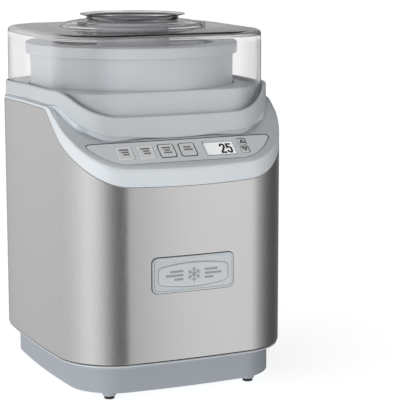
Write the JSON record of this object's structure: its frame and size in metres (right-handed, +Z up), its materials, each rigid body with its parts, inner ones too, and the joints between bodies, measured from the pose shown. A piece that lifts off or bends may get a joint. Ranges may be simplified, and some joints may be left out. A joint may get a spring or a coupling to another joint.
{
  "type": "ice cream maker",
  "caption": "Countertop ice cream maker with a removable freezer bowl, clear lid, fixed mixing paddle, sloped control panel with display, and a geared motor drive turning the bowl.",
  "frame": {"origin": "on the surface it stands on, under the centre of the body", "axes": "+Z up; +X to the right of someone facing the front; -Y towards the front, with the control panel"},
  "size_m": [0.2198, 0.2445, 0.3365],
  "materials": {
    "plinth_plastic": "fine-textured silver-grey moulded plastic",
    "silver_plastic": "satin metallic silver plastic",
    "panel_plastic": "satin silver plastic, slightly darker",
    "key_plastic": "soft light grey plastic",
    "brushed_steel": "vertically brushed stainless steel",
    "badge_metal": "satin pressed metal",
    "zinc_steel": "zinc plated steel",
    "rubber": "matt black rubber",
    "clear_plastic": "clear moulded plastic, faintly smoky",
    "bowl_plastic": "satin light grey plastic",
    "aluminium": "bare spun aluminium",
    "white_plastic": "white moulded plastic",
    "dark_plastic": "dark grey moulded plastic",
    "gear_plastic": "natural acetal",
    "copper": "enamelled copper wire",
    "bronze": "sintered bronze",
    "circuit_board": "green printed circuit board",
    "coolant_gel": "frozen coolant gel"
  },
  "bodies": {
    "base": {"base_pan": "plinth_plastic", "foot_front_left": "rubber", "foot_front_right": "rubber", "foot_rear_left": "rubber", "foot_rear_right": "rubber", "cord_gland": "dark_plastic", "steel_wrap": "brushed_steel", "badge_plate": "badge_metal", "top_housing": "silver_plastic", "deck_ring": "silver_plastic", "bowl_well": "silver_plastic", "control_fascia": "panel_plastic", "display_window": "clear_plastic", "display_module": "white_plastic", "control_board": "circuit_board", "gearbox_case": "dark_plastic", "gearbox_cover": "dark_plastic", "lower_bush": "bronze", "upper_bush": "bronze", "idler_axle": "zinc_steel", "motor_can": "zinc_steel", "motor_end_cap": "zinc_steel", "motor_stator": "zinc_steel", "motor_windings": "copper", "power_board": "circuit_board", "base_screw_1": "zinc_steel", "base_screw_2": "zinc_steel", "base_screw_3": "zinc_steel", "base_screw_4": "zinc_steel", "well_screw_1": "zinc_steel", "well_screw_2": "zinc_steel", "well_screw_3": "zinc_steel", "well_screw_4": "zinc_steel", "motor_screw_1": "zinc_steel", "motor_screw_2": "zinc_steel"},
    "turntable": {"turntable": "white_plastic", "drive_shaft": "zinc_steel", "output_gear": "gear_plastic"},
    "idler": {"idler_gear": "gear_plastic"},
    "motor_rotor": {"motor_rotor": "zinc_steel", "motor_pinion": "bronze", "cooling_fan": "dark_plastic"},
    "bowl": {"bowl_outer_shell": "bowl_plastic", "bowl_liner": "aluminium", "bowl_coolant": "coolant_gel", "bowl_rim_ring": "bowl_plastic"},
    "paddle": {"mixing_paddle": "white_plastic"},
    "lid": {"lid": "clear_plastic"},
    "spout_cap": {"spout_cap": "clear_plastic"},
    "mode_key_1": {"mode_key_1": "key_plastic"},
    "mode_key_2": {"mode_key_2": "key_plastic"},
    "mode_key_3": {"mode_key_3": "key_plastic"},
    "mode_key_4": {"mode_key_4": "key_plastic"},
    "time_up_key": {"time_up_key": "key_plastic"},
    "time_down_key": {"time_down_key": "key_plastic"}
  },
  "joints": [
    {"name": "bowl_spin", "type": "hinge", "parent": "base", "child": "turntable", "pos_m": [0, 0.0148, 0.1326], "axis": [0, 0, 1], "continuous": true},
    {"name": "idler_spin", "type": "hinge", "parent": "base", "child": "idler", "pos_m": [-0.054, 0.0148, 0.1226], "axis": [0, 0, 1], "continuous": true},
    {"name": "motor_spin", "type": "hinge", "parent": "base", "child": "motor_rotor", "pos_m": [-0.03456, -0.02689, 0.0826], "axis": [0, 0, 1], "continuous": true},
    {"name": "paddle_lift", "type": "slide", "parent": "base", "child": "paddle", "axis": [0, 0, 1], "range_m": [0, 0.3]},
    {"name": "lid_lift", "type": "slide", "parent": "paddle", "child": "lid", "axis": [0, 0, 1], "range_m": [0, 0.15]},
    {"name": "cap_lift", "type": "slide", "parent": "lid", "child": "spout_cap", "axis": [0, 0, 1], "range_m": [0, 0.06]},
    {"name": "bowl_lift", "type": "slide", "parent": "turntable", "child": "bowl", "axis": [0, 0, 1], "range_m": [0, 0.135]},
    {"name": "mode_key_1_press", "type": "slide", "parent": "base", "child": "mode_key_1", "axis": [0, 0.6247, -0.7809], "range_m": [0, 0.0008], "stiffness_N_per_m": 300, "springref_m": -0.0004},
    {"name": "mode_key_2_press", "type": "slide", "parent": "base", "child": "mode_key_2", "axis": [0, 0.6247, -0.7809], "range_m": [0, 0.0008], "stiffness_N_per_m": 300, "springref_m": -0.0004},
    {"name": "mode_key_3_press", "type": "slide", "parent": "base", "child": "mode_key_3", "axis": [0, 0.6247, -0.7809], "range_m": [0, 0.0008], "stiffness_N_per_m": 300, "springref_m": -0.0004},
    {"name": "mode_key_4_press", "type": "slide", "parent": "base", "child": "mode_key_4", "axis": [0, 0.6247, -0.7809], "range_m": [0, 0.0008], "stiffness_N_per_m": 300, "springref_m": -0.0004},
    {"name": "time_up_key_press", "type": "slide", "parent": "base", "child": "time_up_key", "axis": [0, 0.6247, -0.7809], "range_m": [0, 0.0008], "stiffness_N_per_m": 300, "springref_m": -0.0004},
    {"name": "time_down_key_press", "type": "slide", "parent": "base", "child": "time_down_key", "axis": [0, 0.6247, -0.7809], "range_m": [0, 0.0008], "stiffness_N_per_m": 300, "springref_m": -0.0004}
  ],
  "couplings": [
    {"joint": "idler_spin", "follows": "bowl_spin", "ratio": -2.8571},
    {"joint": "motor_spin", "follows": "bowl_spin", "ratio": 6.5306},
    {"joint": "bowl_lift", "follows": "paddle_lift", "ratio": 0.45}
  ]
}
